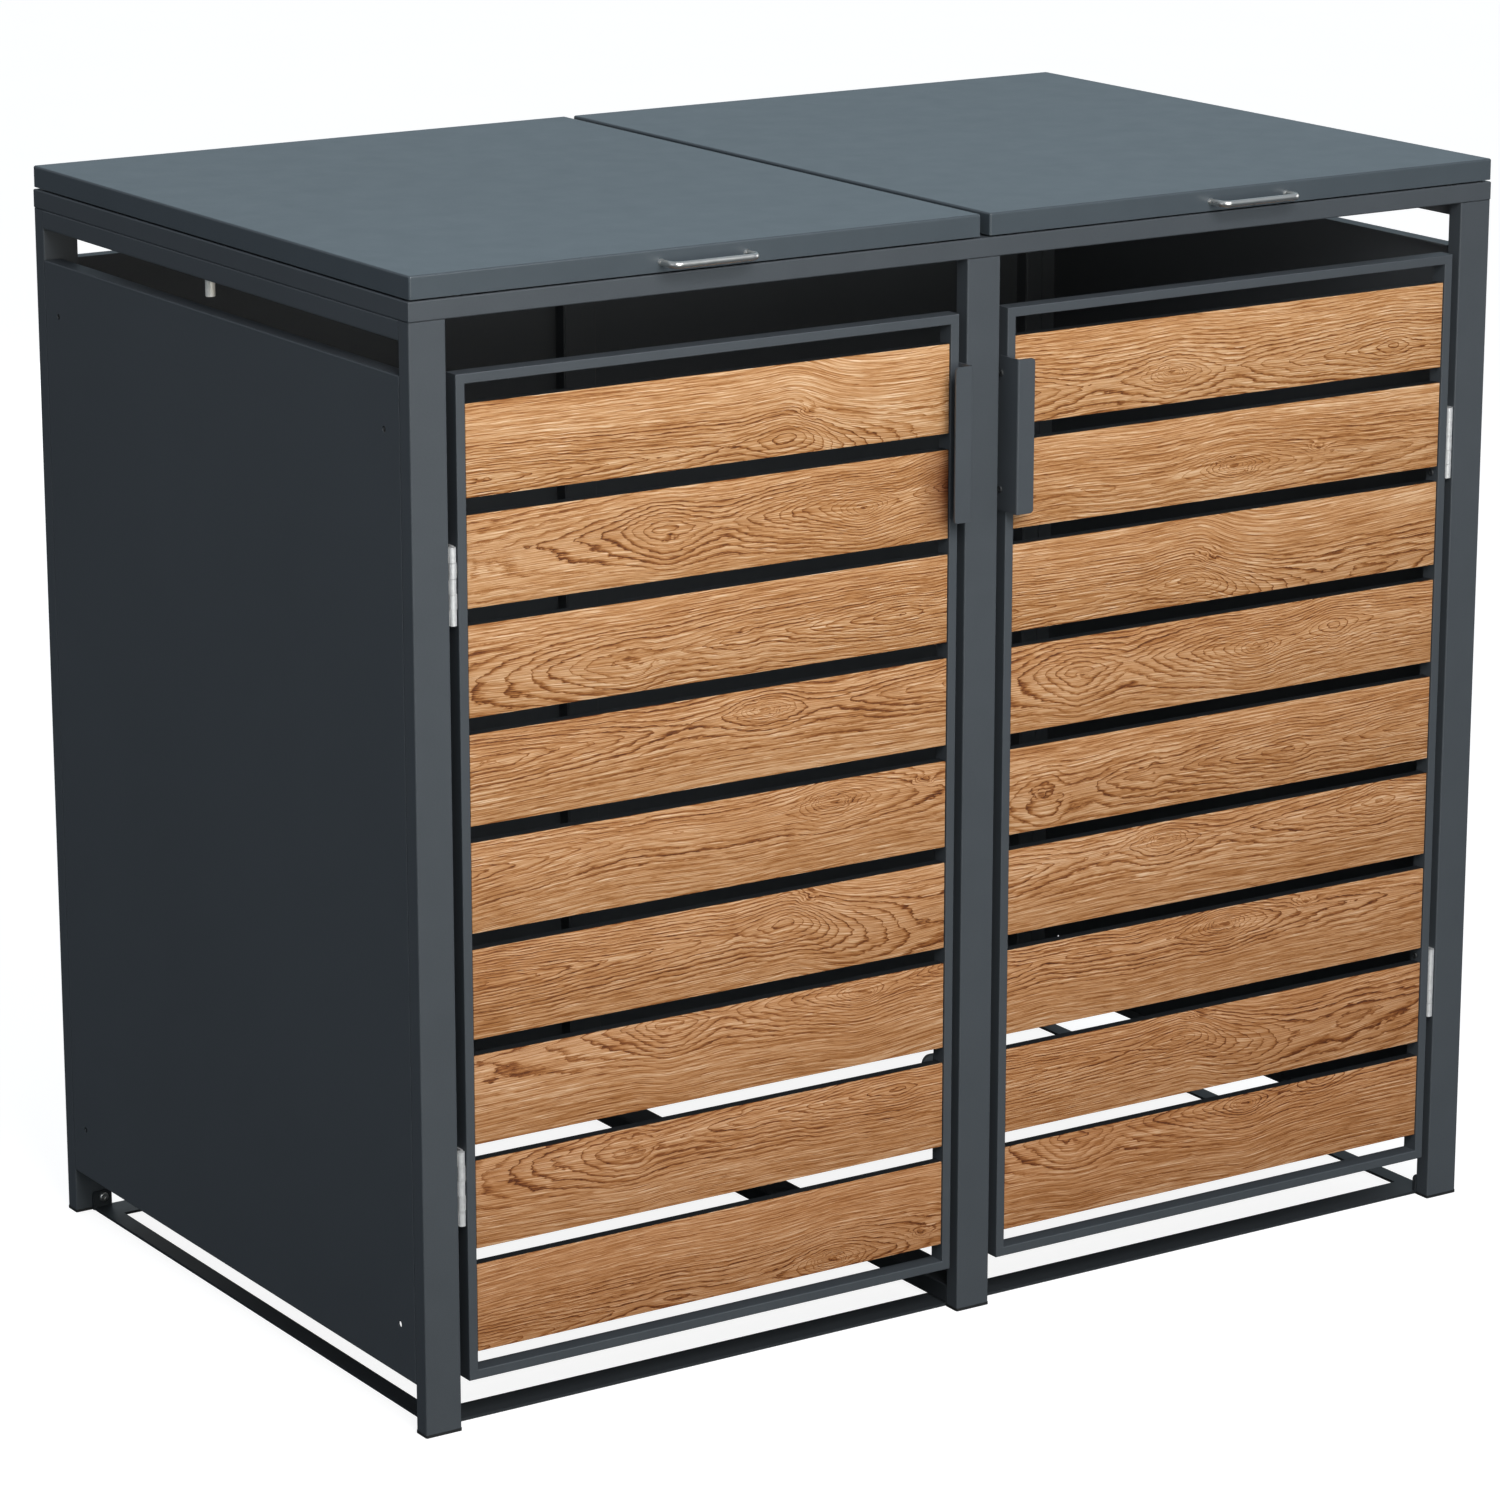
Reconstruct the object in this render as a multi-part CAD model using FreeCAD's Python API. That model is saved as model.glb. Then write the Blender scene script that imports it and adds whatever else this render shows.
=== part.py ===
import FreeCAD, Part
import math
import os
from FreeCAD import Vector as V

# Wheelie bin store for two bins: a frame of rectangular steel tube with sheet
# panels, two slatted doors at the front and two folded sheet lids on top.
# Millimetres. +X is right along the front, +Y goes back, +Z is up, and the
# ground is z = 0. All dimensions below are taken about the centre of the six
# posts; DY then moves the whole store so that its origin is the middle of its
# bounding box on the ground.

os.makedirs("parts", exist_ok=True)

# ---------------------------------------------------------------- dimensions
WIDTH = 1318.5            # over the posts
DEPTH = 798.0             # over the posts
HEIGHT = 1160.0           # ground to lid top

TUBE_A = 40.0             # wide side of the frame tube
TUBE_B = 20.0             # narrow side
TUBE_T = 1.5              # tube wall
TUBE_R = 1.6              # outer corner radius of the tube
SHEET_T = 1.5             # panel and lid sheet

CAP_H = 3.0               # foot cap under each post
CAP_PROUD = 0.5

RING_Z1 = 1135.5          # top of the top frame
RING_Z0 = RING_Z1 - TUBE_B
UPPER_Z0 = RING_Z0 - TUBE_B

PANEL_Z0 = 50.0
PANEL_Z1 = 1062.5
PANEL_FLANGE = 19.0       # return of the panel edges
PANEL_HOLE_R = 3.25
PANEL_HOLE_Y = 349.0
PANEL_HOLE_Z = (104.5, 1006.5)
PANEL_BOLT_Z = (130.0, 556.0, 982.0)

STRIP_T = 3.0             # flat strips on the ground
STRIP_FRONT_W = 35.5
STRIP_SIDE_W = 20.0
LUG_H = 20.5
LUG_T = 4.6
LUG_BOLT_Z = 14.0

DOOR_GAP = 9.75           # between a door and the posts
DOOR_Z0 = 50.0
DOOR_Z1 = 1061.7
DOOR_TUBE = 10.0          # face width of the door tube
DOOR_DEEP = 20.0
DOOR_WALL = 1.5
DOOR_SET = 0.3            # the doors stand this far in front of their stops

SLAT_N = 9
SLAT_TOP = 1032.2
SLAT_PITCH = 107.8
SLAT_H = 91.0
SLAT_RECESS = 1.3         # slat face behind the door frame's face
SLAT_DEEP = 13.0
BOARD_T = 1.6
BOARD_END = 0.8           # gap at each end of a board
CHANNEL_T = 1.2

PULL_Z0, PULL_Z1 = 853.3, 1012.5
PULL_T = 2.0
PULL_OUT = 21.7           # grip's front face in front of the door
PULL_W = 20.7
PULL_R = 4.0
PULL_SCREW_Z = (994.7, 875.1)

HINGE_L = 76.5
HINGE_R = 3.85            # knuckle radius
HINGE_PIN_R = 2.0
HINGE_RUN = 0.05          # radial clearance in the moving knuckles
HINGE_LEAF = 2.0
HINGE_N = 5
HINGE_AIR = 0.3           # between neighbouring knuckles
HINGE_HOLE = 32.0         # outer holes from the hinge's middle
DOOR_HINGE_Z = (251.65, 857.2)
DOOR_HINGE_Y = -396.2
DOOR_LEAF_W = 16.2

LID_X0, LID_X1 = 5.6, 658.3
LID_Y = 400.25
LID_Z0 = 1137.5
LID_RETURN = 15.0
LID_BEND = 2.2
LID_MID = 332.0           # middle of a lid, where its handle is
LID_HINGE_X = (112.0, 552.0)
LID_HINGE_Y = 404.4
LID_HINGE_Z = 1136.5
LID_LEAF_W = 18.0

BOW_Z = 1147.0            # lid handle
BOW_HALF = 49.0
BOW_FRONT = -425.75
BOW_H = 6.8
BOW_T = 5.0
BOW_R = 9.0

X2 = WIDTH / 2.0
Y2 = DEPTH / 2.0
BAY_X = X2 - TUBE_A       # inner face of the outer posts
POST_IN = TUBE_A / 2.0    # half width of the middle posts
BAY_Y = Y2 - TUBE_B       # inner face of the posts, front and rear
DOOR_X0 = POST_IN + DOOR_GAP
DOOR_X1 = BAY_X - DOOR_GAP
DOOR_FRONT = -Y2 - DOOR_SET
DOOR_BACK = DOOR_FRONT + DOOR_DEEP
DOOR_HINGE_X = (BAY_X + DOOR_X1) / 2.0
DY = -(BOW_FRONT + LID_HINGE_Y + HINGE_R) / 2.0

nodes = {}


# ------------------------------------------------------------------- helpers
def box(x0, x1, y0, y1, z0, z1):
    return Part.makeBox(x1 - x0, y1 - y0, z1 - z0, V(x0, y0, z0))


def edges_along(shape, axis):
    """Straight edges of a box-like shape that run along an axis."""
    found = []
    for e in shape.Edges:
        a, b = e.Vertexes[0].Point, e.Vertexes[-1].Point
        d = b - a
        if d.Length < 1e-6:
            continue
        d.normalize()
        if abs(abs(d[axis]) - 1.0) < 1e-6:
            found.append(e)
    return found


def rounded(x0, x1, y0, y1, z0, z1, axis, r):
    b = box(x0, x1, y0, y1, z0, z1)
    return b.makeFillet(r, edges_along(b, axis)) if r > 0.05 else b


def tube(x0, x1, y0, y1, z0, z1, axis, wall=TUBE_T, r=TUBE_R):
    """Rectangular tube that runs along an axis, open at both ends."""
    lo, hi = [x0, y0, z0], [x1, y1, z1]
    outer = rounded(x0, x1, y0, y1, z0, z1, axis, r)
    for i in range(3):
        if i == axis:
            lo[i] -= 1.0
            hi[i] += 1.0
        else:
            lo[i] += wall
            hi[i] -= wall
    return outer.cut(box(lo[0], hi[0], lo[1], hi[1], lo[2], hi[2]))


def prism(points, direction):
    wire = Part.makePolygon([V(*p) for p in points] + [V(*points[0])])
    return Part.Face(wire).extrude(V(*direction))


def cyl(r, h, base, direction):
    return Part.makeCylinder(r, h, V(*base), V(*direction))


def mirrored(shape):
    return shape.mirror(V(0, 0, 0), V(1, 0, 0))


def fuse(shapes):
    shape = shapes[0]
    if len(shapes) > 1:
        shape = shape.fuse(shapes[1:])
    return shape.removeSplitter()


def group(shapes):
    """Separate solids that share one node."""
    solids = []
    for s in shapes:
        solids.extend(s.Solids)
    return Part.makeCompound(solids)


def bolt(base, direction, shank_r, shank_l, head_r, head_h):
    """Button-head bolt: base is the point under the head, direction goes
    from there along the shank."""
    d = V(*direction)
    b = V(*base)
    head = Part.makeCylinder(head_r, head_h, b, d * -1)
    top = [e for e in head.Edges
           if abs((e.CenterOfMass - (b - d * head_h)).dot(d)) < 1e-6
           and hasattr(e.Curve, "Radius")]
    head = head.makeFillet(head_h * 0.55, top)
    shape = head.fuse(Part.makeCylinder(shank_r, shank_l, b, d))
    side = V(0, 0, 1) if abs(d.z) < 0.5 else V(1, 0, 0)
    other = d.cross(side)
    r = head_r * 0.42
    pts = []
    for k in range(6):
        a = math.pi / 3.0 * k
        pts.append(b - d * head_h + side * (r * math.cos(a)) + other * (r * math.sin(a)))
    hexagon = Part.Face(Part.makePolygon(pts + [pts[0]])).extrude(d * (head_h * 0.6))
    return shape.cut(hexagon).removeSplitter()


def flush_screw(base, direction, shank_r, shank_l, head_r, head_h):
    """Countersunk screw: base is the middle of the flat head. Returns the
    screw, and the same screw without its cross recess for cutting holes."""
    d = V(*direction)
    b = V(*base)
    shape = Part.makeCone(head_r, shank_r, head_h, b, d)
    shape = shape.fuse(Part.makeCylinder(shank_r, shank_l - head_h, b + d * head_h, d))
    blank = shape.removeSplitter()
    side = V(0, 0, 1) if abs(d.z) < 0.5 else V(1, 0, 0)
    other = d.cross(side)
    for u, w in ((side, other), (other, side)):
        bar = [b + u * s * 2.2 + w * t * 0.45 for s, t in ((1, 1), (1, -1), (-1, -1), (-1, 1))]
        shape = shape.cut(Part.Face(Part.makePolygon(bar + [bar[0]])).extrude(d * 1.0))
    return shape.removeSplitter(), blank


def save(name, shape):
    nodes[name] = shape


# --------------------------------------------------------- posts and foot caps
POSTS = {
    "post_front_left": (-X2, -Y2),
    "post_front_centre": (-POST_IN, -Y2),
    "post_front_right": (BAY_X, -Y2),
    "post_rear_left": (-X2, BAY_Y),
    "post_rear_centre": (-POST_IN, BAY_Y),
    "post_rear_right": (BAY_X, BAY_Y),
}
posts = {}
caps = []
cap_plates = []
for name, (x, y) in POSTS.items():
    posts[name] = tube(x, x + TUBE_A, y, y + TUBE_B, CAP_H, RING_Z0, 2)
    plate = rounded(x - CAP_PROUD, x + TUBE_A + CAP_PROUD, y - CAP_PROUD,
                    y + TUBE_B + CAP_PROUD, 0.0, CAP_H, 2, 2.0)
    plug = tube(x + TUBE_T, x + TUBE_A - TUBE_T, y + TUBE_T, y + TUBE_B - TUBE_T,
                CAP_H - 0.5, CAP_H + 6.5, 2, 2.0, 0.0)
    caps.append(fuse([plate, plug]))
    cap_plates.append(plate)

# ------------------------------------------------------------------ top frame
ring_front = tube(-X2, X2, -Y2, -Y2 + TUBE_A, RING_Z0, RING_Z1, 0)
ring_front = ring_front.common(prism([(-X2, -Y2, RING_Z0 - 1), (X2, -Y2, RING_Z0 - 1),
                                      (BAY_X, -Y2 + TUBE_A, RING_Z0 - 1),
                                      (-BAY_X, -Y2 + TUBE_A, RING_Z0 - 1)], (0, 0, TUBE_B + 2)))
ring_rear = tube(-X2, X2, Y2 - TUBE_A, Y2, RING_Z0, RING_Z1, 0)
ring_rear = ring_rear.common(prism([(-X2, Y2, RING_Z0 - 1), (X2, Y2, RING_Z0 - 1),
                                    (BAY_X, Y2 - TUBE_A, RING_Z0 - 1),
                                    (-BAY_X, Y2 - TUBE_A, RING_Z0 - 1)], (0, 0, TUBE_B + 2)))
ring_right = tube(BAY_X, X2, -Y2, Y2, RING_Z0, RING_Z1, 1)
ring_right = ring_right.common(prism([(X2, -Y2, RING_Z0 - 1), (X2, Y2, RING_Z0 - 1),
                                      (BAY_X, Y2 - TUBE_A, RING_Z0 - 1),
                                      (BAY_X, -Y2 + TUBE_A, RING_Z0 - 1)], (0, 0, TUBE_B + 2)))
ring_centre = tube(-POST_IN, POST_IN, -Y2 + TUBE_A, Y2 - TUBE_A, RING_Z0, RING_Z1, 1)

# second rail under the top frame, at both sides and at the back
upper_right = tube(X2 - TUBE_B, X2, -BAY_Y, BAY_Y, UPPER_Z0, RING_Z0, 1)
upper_rear = tube(POST_IN, BAY_X, BAY_Y, Y2, UPPER_Z0, RING_Z0, 0)

# --------------------------------------------------------------- sheet panels
def cassette(x0, x1, y0, y1, z0, z1, open_side, holes=()):
    """Sheet panel, open towards the bay: a web on the outside with rounded
    edges, and four edge strips welded round its inner face. open_side is
    ('x', sign) or ('y', sign). Returns the five solids."""
    axis = 0 if open_side[0] == "x" else 1
    sign = open_side[1]
    lo, hi = [x0, y0, z0], [x1, y1, z1]
    t = SHEET_T
    wlo, whi = list(lo), list(hi)
    flo, fhi = list(lo), list(hi)
    if sign > 0:
        whi[axis] = lo[axis] + t
        flo[axis] = lo[axis] + t
        face = lo[axis]
    else:
        wlo[axis] = hi[axis] - t
        fhi[axis] = hi[axis] - t
        face = hi[axis]
    web = box(wlo[0], whi[0], wlo[1], whi[1], wlo[2], whi[2])
    outer = [e for e in web.Edges if abs(e.Vertexes[0].Point[axis] - face) < 1e-6
             and abs(e.Vertexes[-1].Point[axis] - face) < 1e-6]
    web = web.makeFillet(t - 0.1, outer)
    for h in holes:
        web = web.cut(h)
    across = 1 - axis
    strips = []
    for side in (0, 1):
        a, b = list(flo), list(fhi)
        if side:
            a[across] = b[across] - t
        else:
            b[across] = a[across] + t
        strips.append(box(a[0], b[0], a[1], b[1], a[2], b[2]))
    for side in (0, 1):
        a, b = list(flo), list(fhi)
        a[across] += t
        b[across] -= t
        if side:
            a[2] = b[2] - t
        else:
            b[2] = a[2] + t
        strips.append(box(a[0], b[0], a[1], b[1], a[2], b[2]))
    return [web] + strips


side_holes = [cyl(PANEL_HOLE_R, 10.0, (X2 - 5.0, y, z), (1, 0, 0))
              for y in (-PANEL_HOLE_Y, PANEL_HOLE_Y) for z in PANEL_HOLE_Z]
side_right = cassette(X2 - PANEL_FLANGE, X2, -BAY_Y, BAY_Y, PANEL_Z0, PANEL_Z1, ("x", -1),
                      side_holes)
back_right = cassette(POST_IN, BAY_X, Y2 - PANEL_FLANGE, Y2, PANEL_Z0, PANEL_Z1 - 0.7, ("y", -1))

# ----------------------------------------------------------------- base frame
strip_right = box(BAY_X, BAY_X + STRIP_SIDE_W, -BAY_Y, BAY_Y, 0.0, STRIP_T)
for s in (-1, 1):
    y0 = min(s * BAY_Y, s * (BAY_Y - LUG_T))
    lug = box(BAY_X - 1.0, BAY_X + STRIP_SIDE_W + 1.0, y0, y0 + LUG_T, 0.0, LUG_H)
    tops = [e for e in edges_along(lug, 1) if e.CenterOfMass.z > LUG_H - 0.1]
    strip_right = strip_right.fuse(lug.makeFillet(4.0, tops))
strip_right = strip_right.removeSplitter()
for p in cap_plates:
    strip_right = strip_right.cut(p)
strip_front = box(-BAY_X, BAY_X, -BAY_Y + CAP_PROUD, -BAY_Y + CAP_PROUD + STRIP_FRONT_W, 0.0, STRIP_T)
strip_rear = box(-BAY_X, BAY_X, BAY_Y - CAP_PROUD - STRIP_FRONT_W, BAY_Y - CAP_PROUD, 0.0, STRIP_T)
# the lugs are a little wider than the strip, so the cross strips are notched round them
for s in (-1, 1):
    notch = box(BAY_X - 1.0, BAY_X, min(s * BAY_Y, s * (BAY_Y - LUG_T)),
                max(s * BAY_Y, s * (BAY_Y - LUG_T)), -1.0, STRIP_T + 1.0)
    strip_front = strip_front.cut(notch).cut(mirrored(notch))
    strip_rear = strip_rear.cut(notch).cut(mirrored(notch))
base_centre = tube(-POST_IN, POST_IN, -BAY_Y, BAY_Y, STRIP_T, STRIP_T + TUBE_B, 1)

# ------------------------------------------- studs under the upper side rails
STUD_R = 5.0
STUD_Y = 19.8
STUD_Z0 = 1077.0
studs = []
for sx in (-1, 1):
    foot = V(sx * (X2 - TUBE_B / 2.0), STUD_Y, STUD_Z0)
    stud = Part.makeCylinder(STUD_R, UPPER_Z0 - STUD_Z0, foot)
    low = [e for e in stud.Edges if abs(e.CenterOfMass.z - STUD_Z0) < 1e-6 and hasattr(e.Curve, "Radius")]
    stud = stud.makeChamfer(0.5, low)
    studs.append(fuse([stud, Part.makeCylinder(3.0, UPPER_Z0 - STUD_Z0 + 9.0, foot)]))

STOP_Z = (262.0, 869.0)
STOP_X = 51.8
stops = []
for z in STOP_Z:
    p = box(-STOP_X, STOP_X, -BAY_Y, -BAY_Y + 3.0, z, z + 20.0)
    stops.append(p.makeFillet(9.0, edges_along(p, 1)))

# ---------------------------------------------------------------------- bolts
M6_R = 3.0
bolts = []
for sx in (-1, 1):
    # lugs to posts
    for sy in (-1, 1):
        x = sx * (BAY_X + 9.0)
        y = sy * (BAY_Y - LUG_T)
        bolts.append(bolt((x, y, LUG_BOLT_Z), (0, sy, 0), M6_R, LUG_T + 8.0, 5.2, 3.0))
        # side panel returns to posts
        for z in PANEL_BOLT_Z:
            bolts.append(bolt((sx * (X2 - 11.0), sy * (BAY_Y - SHEET_T), z), (0, sy, 0),
                              M6_R, 9.0, 5.2, 3.0))
    # back panel returns to posts
    for z in PANEL_BOLT_Z:
        bolts.append(bolt((sx * (BAY_X - SHEET_T), Y2 - 10.5, z), (sx, 0, 0), M6_R, 9.0, 5.2, 3.0))
    for z in PANEL_BOLT_Z:
        zz = z + (7.0 if sx > 0 else -7.0)
        bolts.append(bolt((sx * (POST_IN + SHEET_T), Y2 - 10.5, zz), (-sx, 0, 0),
                          M6_R, 9.0, 5.2, 3.0))
for z in STOP_Z:
    for x in (-11.0, 11.0):
        bolts.append(bolt((x, -BAY_Y + 3.0, z + 10.0), (0, -1, 0), M6_R, 9.0, 5.2, 3.0))
shanks = bolts + studs


def drill(shape):
    """Cut every bolt out of a piece that it passes through."""
    bb = shape.BoundBox
    for b in shanks:
        if b.BoundBox.intersect(bb):
            shape = shape.cut(b)
    return shape


# --------------------------------------------------------------- butt hinges
def butt_hinge(ua, va, ub, vb):
    """One hinge about the local Z axis, its middle at the origin. ua and ub
    are the (low, high) limits of the two leaves across the axis, va and vb
    the signed widths. Returns fixed leaf, moving leaf, pin, and the two lists
    of screw hole centres (v, w)."""
    step = (HINGE_L - HINGE_AIR * (HINGE_N - 1)) / HINGE_N
    spans = []
    z = -HINGE_L / 2.0
    for k in range(HINGE_N):
        spans.append((z, z + step))
        z += step + HINGE_AIR
    fixed = [spans[k] for k in range(0, HINGE_N, 2)]
    moving = [spans[k] for k in range(1, HINGE_N, 2)]

    def leaf(u, v, own, other, bore):
        s = 1.0 if v > 0 else -1.0
        lo, hi = (0.0, v) if v > 0 else (v, 0.0)
        shape = box(u[0], u[1], lo, hi, -HINGE_L / 2.0, HINGE_L / 2.0)
        far = [e for e in edges_along(shape, 0) if abs(e.CenterOfMass.y - v) < 0.01]
        shape = shape.makeFillet(2.5, far)
        c = 4.5
        for a, b in other:
            shape = shape.cut(box(u[0] - 1, u[1] + 1, min(0, s * c) - (1 if s > 0 else 0),
                                  max(0, s * c) + (1 if s < 0 else 0),
                                  a - HINGE_AIR, b + HINGE_AIR))
        inner = u[1] if u[1] < 0 else u[0]
        for a, b in own:
            shape = shape.fuse(cyl(HINGE_R, b - a, (0, 0, a), (0, 0, 1)))
            ulo, uhi = (inner - 0.5, -1.5) if inner < 0 else (1.5, inner + 0.5)
            shape = shape.fuse(box(ulo, uhi, min(0, s * 3.4), max(0, s * 3.4), a, b))
        shape = shape.removeSplitter()
        return shape.cut(cyl(bore, HINGE_L + 4, (0, 0, -HINGE_L / 2.0 - 2), (0, 0, 1)))

    a = leaf(ua, va, fixed, moving, HINGE_PIN_R)
    b = leaf(ub, vb, moving, fixed, HINGE_PIN_R + HINGE_RUN)
    pin = cyl(HINGE_PIN_R, HINGE_L, (0, 0, -HINGE_L / 2.0), (0, 0, 1))
    return a, b, pin


HOLES_W = (-HINGE_HOLE, 0.0, HINGE_HOLE)
M4_R = 2.1

# door hinges, right-hand door: axis vertical in the gap beside the post
g = DOOR_GAP / 2.0
h_fixed, h_moving, h_pin = butt_hinge((g - HINGE_LEAF, g), DOOR_LEAF_W,
                                      (-g, -g + HINGE_LEAF), DOOR_LEAF_W)
door_fixed, door_moving, door_pins = [], [], []
door_fixed_screws, door_moving_screws, door_fixed_blanks = [], [], []
hole_y = DOOR_HINGE_Y + 8.0
for zc in DOOR_HINGE_Z:
    at = V(DOOR_HINGE_X, DOOR_HINGE_Y, zc)
    a, b, p = h_fixed.copy(), h_moving.copy(), h_pin.copy()
    for s in (a, b, p):
        s.translate(at)
    for w in HOLES_W:
        # into the post, flush with the leaf
        sc, blank = flush_screw((BAY_X - HINGE_LEAF, hole_y, zc + w), (1, 0, 0), M4_R, 9.0, 3.9, 1.8)
        a = a.cut(blank)
        door_fixed_screws.append(sc)
        door_fixed_blanks.append(blank)
        # right through the door's stile from the slat side
        sc = bolt((DOOR_X1 - DOOR_TUBE, hole_y, zc + w), (1, 0, 0), M4_R,
                  DOOR_TUBE + HINGE_LEAF, 3.7, 1.8)
        b = b.cut(sc)
        door_moving_screws.append(sc)
    door_fixed.append(a)
    door_moving.append(b)
    door_pins.append(p)

# lid hinges: axis along X behind the top frame
u_frame = Y2 - LID_HINGE_Y
u_lid = LID_Y - LID_HINGE_Y
h_fixed, h_moving, h_pin = butt_hinge((u_frame, u_frame + HINGE_LEAF), -LID_LEAF_W,
                                      (u_lid, u_lid + HINGE_LEAF), LID_LEAF_W)
turn = FreeCAD.Placement(FreeCAD.Matrix(0, 0, 1, 0,
                                        1, 0, 0, 0,
                                        0, 1, 0, 0,
                                        0, 0, 0, 1))
lid_fixed, lid_moving, lid_pins = [], [], []
lid_fixed_screws, lid_moving_screws = [], []
lid_fixed_blanks, lid_moving_blanks = [], []
for xc in LID_HINGE_X:
    parts = []
    for s in (h_fixed, h_moving, h_pin):
        s = s.copy()
        s.Placement = turn
        s = s.copy()
        s.translate(V(xc, LID_HINGE_Y, LID_HINGE_Z))
        parts.append(s)
    a, b, p = parts
    for w in HOLES_W:
        sc, blank = flush_screw((xc + w, Y2 + HINGE_LEAF, LID_HINGE_Z - 11.0), (0, -1, 0),
                                M4_R, 9.0, 3.9, 1.8)
        a = a.cut(blank)
        lid_fixed_screws.append(sc)
        lid_fixed_blanks.append(blank)
        sc, blank = flush_screw((xc + w, LID_Y + HINGE_LEAF, LID_HINGE_Z + 11.0), (0, -1, 0),
                                M4_R, 6.0, 3.9, 1.8)
        b = b.cut(blank)
        lid_moving_screws.append(sc)
        lid_moving_blanks.append(blank)
    lid_fixed.append(a)
    lid_moving.append(b)
    lid_pins.append(p)

# ----------------------------------------------------------------- right door
def frame_bar(points, x0, x1, z0, z1, axis):
    t = tube(x0, x1, DOOR_FRONT, DOOR_BACK, z0, z1, axis, DOOR_WALL, 1.0)
    pr = prism([(px, DOOR_FRONT - 1, pz) for px, pz in points], (0, DOOR_DEEP + 2, 0))
    return t.common(pr)


ax, bx, az, bz, m = DOOR_X0, DOOR_X1, DOOR_Z0, DOOR_Z1, DOOR_TUBE
closing_stile = frame_bar([(ax, az), (ax + m, az + m), (ax + m, bz - m), (ax, bz)], ax, ax + m, az, bz, 2)
hinge_stile = frame_bar([(bx, az), (bx, bz), (bx - m, bz - m), (bx - m, az + m)], bx - m, bx, az, bz, 2)
door_top = frame_bar([(ax, bz), (ax + m, bz - m), (bx - m, bz - m), (bx, bz)], ax, bx, bz - m, bz, 0)
door_bottom = frame_bar([(ax, az), (bx, az), (bx - m, az + m), (ax + m, az + m)], ax, bx, az, az + m, 0)

face_y = DOOR_FRONT + SLAT_RECESS
boards, channels = [], []
for k in range(SLAT_N):
    z1 = SLAT_TOP - SLAT_PITCH * k
    z0 = z1 - SLAT_H
    boards.append(box(ax + m + BOARD_END, bx - m - BOARD_END, face_y, face_y + BOARD_T, z0, z1))
    outer = box(ax + m, bx - m, face_y + BOARD_T, face_y + SLAT_DEEP, z0, z1)
    inner = box(ax + m - 1, bx - m + 1, face_y + BOARD_T + CHANNEL_T, face_y + SLAT_DEEP + 1,
                z0 + CHANNEL_T, z1 - CHANNEL_T)
    lip = box(ax + m, bx - m, face_y + SLAT_DEEP - CHANNEL_T, face_y + SLAT_DEEP, z0, z0 + 10.0)
    lip2 = box(ax + m, bx - m, face_y + SLAT_DEEP - CHANNEL_T, face_y + SLAT_DEEP, z1 - 10.0, z1)
    channels.append(fuse([outer.cut(inner), lip, lip2]))

# grip: an angle whose web lies on the outer side of the closing stile
web = box(ax - PULL_T, ax, DOOR_FRONT - PULL_OUT, -385.0, PULL_Z0, PULL_Z1)
lip = box(ax - PULL_T, ax - PULL_T + PULL_W, DOOR_FRONT - PULL_OUT, DOOR_FRONT - PULL_OUT + PULL_T,
          PULL_Z0, PULL_Z1)
free = [e for e in edges_along(lip, 1) if e.CenterOfMass.x > ax]
lip = lip.makeFillet(PULL_R, free)
back = [e for e in edges_along(web, 0) if e.CenterOfMass.y > -386.0]
web = web.makeFillet(PULL_R, back)
pull = fuse([web, lip])
bend = [e for e in edges_along(pull, 2)
        if abs(e.CenterOfMass.x - (ax - PULL_T)) < 0.01
        and abs(e.CenterOfMass.y - (DOOR_FRONT - PULL_OUT)) < 0.01]
pull = pull.makeFillet(PULL_T, bend)
for z in PULL_SCREW_Z:
    sc = bolt((ax - PULL_T, -392.0, z), (1, 0, 0), M4_R, 7.0, 3.7, 1.8)
    door_moving_screws.append(sc)
    pull = pull.cut(sc)
    closing_stile = closing_stile.cut(sc)
for sc in door_moving_screws:
    if sc.BoundBox.intersect(hinge_stile.BoundBox):
        hinge_stile = hinge_stile.cut(sc)

# ------------------------------------------------------------------ right lid
top = box(LID_X0, LID_X1, -LID_Y, LID_Y, LID_Z0, HEIGHT)
corner = edges_along(top, 2)
upper = [e for e in top.Edges if e.CenterOfMass.z > HEIGHT - 0.01]
lid = top.makeFillet(LID_BEND, corner + upper)
lid = lid.cut(box(LID_X0 + SHEET_T, LID_X1 - SHEET_T, -LID_Y + SHEET_T, LID_Y - SHEET_T,
                  LID_Z0 + SHEET_T, HEIGHT - SHEET_T))
lid = lid.cut(box(LID_X0 + LID_RETURN, LID_X1 - LID_RETURN, -LID_Y + LID_RETURN, LID_Y - LID_RETURN,
                  LID_Z0 - 1, LID_Z0 + SHEET_T + 1))

hat_y = LID_Y - 22.0
hat_z = HEIGHT - SHEET_T - 12.5
hat = fuse([
    box(LID_MID - 32, LID_MID - 18, -hat_y, hat_y, HEIGHT - SHEET_T - 1.2, HEIGHT - SHEET_T),
    box(LID_MID + 18, LID_MID + 32, -hat_y, hat_y, HEIGHT - SHEET_T - 1.2, HEIGHT - SHEET_T),
    box(LID_MID - 20, LID_MID - 18.8, -hat_y, hat_y, hat_z, HEIGHT - SHEET_T),
    box(LID_MID + 18.8, LID_MID + 20, -hat_y, hat_y, hat_z, HEIGHT - SHEET_T),
    box(LID_MID - 20, LID_MID + 20, -hat_y, hat_y, hat_z, hat_z + 1.2),
])

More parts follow.
